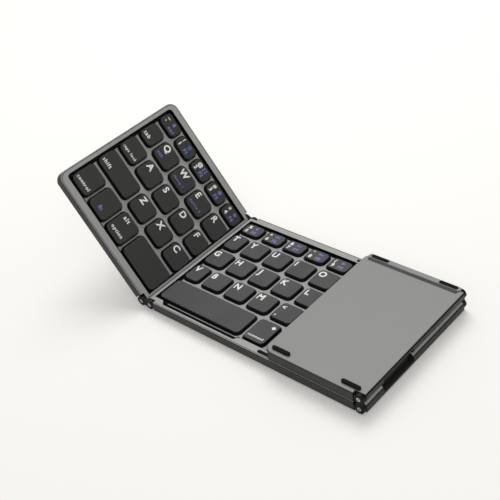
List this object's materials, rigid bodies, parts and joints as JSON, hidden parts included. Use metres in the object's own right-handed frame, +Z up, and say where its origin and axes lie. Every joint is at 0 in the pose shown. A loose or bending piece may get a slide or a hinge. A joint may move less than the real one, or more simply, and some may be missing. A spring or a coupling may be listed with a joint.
{
  "type": "folding keyboard",
  "caption": "Pocket keyboard in three hinged panels: keys on the left and centre panels, a touch pad on the right panel that folds over the centre one.",
  "frame": {"origin": "middle of the footprint, on the plane of the feet, with the left panel tilted up and the right panel folded in", "axes": "+X along the keyboard to the right, +Y towards the back edge, +Z up"},
  "size_m": [0.2178, 0.098, 0.0776],
  "materials": {
    "frame_grey": "satin",
    "plate_grey": "satin, bead blasted",
    "shell_dark": "fine moulded texture",
    "key_dark": "fine moulded texture",
    "rubber_black": "matte",
    "sleeve_black": "satin",
    "pin_steel": "polished heads",
    "socket_steel": "satin",
    "circuit_green": "solder mask",
    "dome_rubber": "matte",
    "battery_foil": "foil",
    "touch_surface": "smooth matte",
    "cable_film": "polyimide film"
  },
  "bodies": {
    "centre_panel": {"centre_lower_shell": "shell_dark", "centre_base_plate": "plate_grey", "centre_top_frame": "frame_grey", "centre_key_deck": "frame_grey", "centre_dome_sheet": "dome_rubber", "centre_key_circuit": "circuit_green", "centre_feet": "rubber_black", "rim_bumpers": "rubber_black"},
    "left_link": {"left_hinge_links": "shell_dark", "left_hinge_pins": "pin_steel"},
    "left_panel": {"left_lower_shell": "shell_dark", "left_base_plate": "plate_grey", "left_top_frame": "frame_grey", "left_key_deck": "frame_grey", "left_dome_sheet": "dome_rubber", "left_key_circuit": "circuit_green", "left_feet": "rubber_black"},
    "right_link": {"right_hinge_links": "shell_dark", "right_hinge_pins": "pin_steel", "cable_sleeve": "sleeve_black", "flat_cable_strip": "cable_film"},
    "right_panel": {"right_lower_shell": "shell_dark", "right_base_plate": "plate_grey", "right_top_frame": "frame_grey", "right_feet": "rubber_black", "touch_pad": "touch_surface", "touch_pad_board": "circuit_green", "battery": "battery_foil", "main_board": "circuit_green", "charging_socket": "socket_steel"},
    "control_key": {"control_key": "key_dark"},
    "function_key": {"function_key": "key_dark"},
    "alternate_key": {"alternate_key": "key_dark"},
    "left_space_key": {"left_space_key": "key_dark"},
    "left_shift_key": {"left_shift_key": "key_dark"},
    "z_key": {"z_key": "key_dark"},
    "x_key": {"x_key": "key_dark"},
    "c_key": {"c_key": "key_dark"},
    "caps_key": {"caps_key": "key_dark"},
    "a_key": {"a_key": "key_dark"},
    "s_key": {"s_key": "key_dark"},
    "d_key": {"d_key": "key_dark"},
    "f_key": {"f_key": "key_dark"},
    "tab_key": {"tab_key": "key_dark"},
    "q_key": {"q_key": "key_dark"},
    "w_key": {"w_key": "key_dark"},
    "e_key": {"e_key": "key_dark"},
    "r_key": {"r_key": "key_dark"},
    "grave_key": {"grave_key": "key_dark"},
    "one_key": {"one_key": "key_dark"},
    "two_key": {"two_key": "key_dark"},
    "three_key": {"three_key": "key_dark"},
    "four_key": {"four_key": "key_dark"},
    "centre_front_keys": {"centre_front_keys": "key_dark"},
    "centre_lower_keys": {"centre_lower_keys": "key_dark"},
    "centre_home_keys": {"centre_home_keys": "key_dark"},
    "centre_upper_keys": {"centre_upper_keys": "key_dark"},
    "centre_number_keys": {"centre_number_keys": "key_dark"},
    "right_space_key": {"right_space_key": "key_dark"},
    "enter_key": {"enter_key": "key_dark"}
  },
  "joints": [
    {"name": "left_inner_fold", "type": "hinge", "parent": "centre_panel", "child": "left_link", "pos_m": [-0.04684, 0, 0.0044], "axis": [0, 1, 0], "range_deg": [0, 90]},
    {"name": "left_outer_fold", "type": "hinge", "parent": "left_link", "child": "left_panel", "pos_m": [-0.05364, 0, 0.0044], "axis": [0, 1, 0], "range_deg": [-53.5, 36.5]},
    {"name": "right_inner_fold", "type": "hinge", "parent": "centre_panel", "child": "right_link", "pos_m": [0.10566, 0, 0.0044], "axis": [0, 1, 0], "range_deg": [0, 90]},
    {"name": "right_outer_fold", "type": "hinge", "parent": "right_link", "child": "right_panel", "pos_m": [0.10566, 0, 0.0112], "axis": [0, 1, 0], "range_deg": [0, 90]},
    {"name": "control_key_press", "type": "slide", "parent": "left_panel", "child": "control_key", "axis": [0.8039, 0, 0.5948], "range_m": [-0.0012, 0], "stiffness_N_per_m": 400, "deforming": ["left_dome_sheet"]},
    {"name": "function_key_press", "type": "slide", "parent": "left_panel", "child": "function_key", "axis": [0.8039, 0, 0.5948], "range_m": [-0.0012, 0], "stiffness_N_per_m": 400, "deforming": ["left_dome_sheet"]},
    {"name": "alternate_key_press", "type": "slide", "parent": "left_panel", "child": "alternate_key", "axis": [0.8039, 0, 0.5948], "range_m": [-0.0012, 0], "stiffness_N_per_m": 400, "deforming": ["left_dome_sheet"]},
    {"name": "left_space_key_press", "type": "slide", "parent": "left_panel", "child": "left_space_key", "axis": [0.8039, 0, 0.5948], "range_m": [-0.0012, 0], "stiffness_N_per_m": 400, "deforming": ["left_dome_sheet"]},
    {"name": "left_shift_key_press", "type": "slide", "parent": "left_panel", "child": "left_shift_key", "axis": [0.8039, 0, 0.5948], "range_m": [-0.0012, 0], "stiffness_N_per_m": 400, "deforming": ["left_dome_sheet"]},
    {"name": "z_key_press", "type": "slide", "parent": "left_panel", "child": "z_key", "axis": [0.8039, 0, 0.5948], "range_m": [-0.0012, 0], "stiffness_N_per_m": 400, "deforming": ["left_dome_sheet"]},
    {"name": "x_key_press", "type": "slide", "parent": "left_panel", "child": "x_key", "axis": [0.8039, 0, 0.5948], "range_m": [-0.0012, 0], "stiffness_N_per_m": 400, "deforming": ["left_dome_sheet"]},
    {"name": "c_key_press", "type": "slide", "parent": "left_panel", "child": "c_key", "axis": [0.8039, 0, 0.5948], "range_m": [-0.0012, 0], "stiffness_N_per_m": 400, "deforming": ["left_dome_sheet"]},
    {"name": "caps_key_press", "type": "slide", "parent": "left_panel", "child": "caps_key", "axis": [0.8039, 0, 0.5948], "range_m": [-0.0012, 0], "stiffness_N_per_m": 400, "deforming": ["left_dome_sheet"]},
    {"name": "a_key_press", "type": "slide", "parent": "left_panel", "child": "a_key", "axis": [0.8039, 0, 0.5948], "range_m": [-0.0012, 0], "stiffness_N_per_m": 400, "deforming": ["left_dome_sheet"]},
    {"name": "s_key_press", "type": "slide", "parent": "left_panel", "child": "s_key", "axis": [0.8039, 0, 0.5948], "range_m": [-0.0012, 0], "stiffness_N_per_m": 400, "deforming": ["left_dome_sheet"]},
    {"name": "d_key_press", "type": "slide", "parent": "left_panel", "child": "d_key", "axis": [0.8039, 0, 0.5948], "range_m": [-0.0012, 0], "stiffness_N_per_m": 400, "deforming": ["left_dome_sheet"]},
    {"name": "f_key_press", "type": "slide", "parent": "left_panel", "child": "f_key", "axis": [0.8039, 0, 0.5948], "range_m": [-0.0012, 0], "stiffness_N_per_m": 400, "deforming": ["left_dome_sheet"]},
    {"name": "tab_key_press", "type": "slide", "parent": "left_panel", "child": "tab_key", "axis": [0.8039, 0, 0.5948], "range_m": [-0.0012, 0], "stiffness_N_per_m": 400, "deforming": ["left_dome_sheet"]},
    {"name": "q_key_press", "type": "slide", "parent": "left_panel", "child": "q_key", "axis": [0.8039, 0, 0.5948], "range_m": [-0.0012, 0], "stiffness_N_per_m": 400, "deforming": ["left_dome_sheet"]},
    {"name": "w_key_press", "type": "slide", "parent": "left_panel", "child": "w_key", "axis": [0.8039, 0, 0.5948], "range_m": [-0.0012, 0], "stiffness_N_per_m": 400, "deforming": ["left_dome_sheet"]},
    {"name": "e_key_press", "type": "slide", "parent": "left_panel", "child": "e_key", "axis": [0.8039, 0, 0.5948], "range_m": [-0.0012, 0], "stiffness_N_per_m": 400, "deforming": ["left_dome_sheet"]},
    {"name": "r_key_press", "type": "slide", "parent": "left_panel", "child": "r_key", "axis": [0.8039, 0, 0.5948], "range_m": [-0.0012, 0], "stiffness_N_per_m": 400, "deforming": ["left_dome_sheet"]},
    {"name": "grave_key_press", "type": "slide", "parent": "left_panel", "child": "grave_key", "axis": [0.8039, 0, 0.5948], "range_m": [-0.0012, 0], "stiffness_N_per_m": 400, "deforming": ["left_dome_sheet"]},
    {"name": "one_key_press", "type": "slide", "parent": "left_panel", "child": "one_key", "axis": [0.8039, 0, 0.5948], "range_m": [-0.0012, 0], "stiffness_N_per_m": 400, "deforming": ["left_dome_sheet"]},
    {"name": "two_key_press", "type": "slide", "parent": "left_panel", "child": "two_key", "axis": [0.8039, 0, 0.5948], "range_m": [-0.0012, 0], "stiffness_N_per_m": 400, "deforming": ["left_dome_sheet"]},
    {"name": "three_key_press", "type": "slide", "parent": "left_panel", "child": "three_key", "axis": [0.8039, 0, 0.5948], "range_m": [-0.0012, 0], "stiffness_N_per_m": 400, "deforming": ["left_dome_sheet"]},
    {"name": "four_key_press", "type": "slide", "parent": "left_panel", "child": "four_key", "axis": [0.8039, 0, 0.5948], "range_m": [-0.0012, 0], "stiffness_N_per_m": 400, "deforming": ["left_dome_sheet"]},
    {"name": "centre_front_keys_press", "type": "slide", "parent": "centre_panel", "child": "centre_front_keys", "axis": [0, 0, 1], "range_m": [-0.0012, 0], "stiffness_N_per_m": 2000, "deforming": ["centre_dome_sheet"]},
    {"name": "centre_lower_keys_press", "type": "slide", "parent": "centre_panel", "child": "centre_lower_keys", "axis": [0, 0, 1], "range_m": [-0.0012, 0], "stiffness_N_per_m": 2000, "deforming": ["centre_dome_sheet"]},
    {"name": "centre_home_keys_press", "type": "slide", "parent": "centre_panel", "child": "centre_home_keys", "axis": [0, 0, 1], "range_m": [-0.0012, 0], "stiffness_N_per_m": 2000, "deforming": ["centre_dome_sheet"]},
    {"name": "centre_upper_keys_press", "type": "slide", "parent": "centre_panel", "child": "centre_upper_keys", "axis": [0, 0, 1], "range_m": [-0.0012, 0], "stiffness_N_per_m": 2000, "deforming": ["centre_dome_sheet"]},
    {"name": "centre_number_keys_press", "type": "slide", "parent": "centre_panel", "child": "centre_number_keys", "axis": [0, 0, 1], "range_m": [-0.0012, 0], "stiffness_N_per_m": 2000, "deforming": ["centre_dome_sheet"]},
    {"name": "right_space_key_press", "type": "slide", "parent": "centre_panel", "child": "right_space_key", "axis": [0, 0, 1], "range_m": [-0.0012, 0], "stiffness_N_per_m": 400, "deforming": ["centre_dome_sheet"]},
    {"name": "enter_key_press", "type": "slide", "parent": "centre_panel", "child": "enter_key", "axis": [0, 0, 1], "range_m": [-0.0012, 0], "stiffness_N_per_m": 400, "deforming": ["centre_dome_sheet"]}
  ]
}
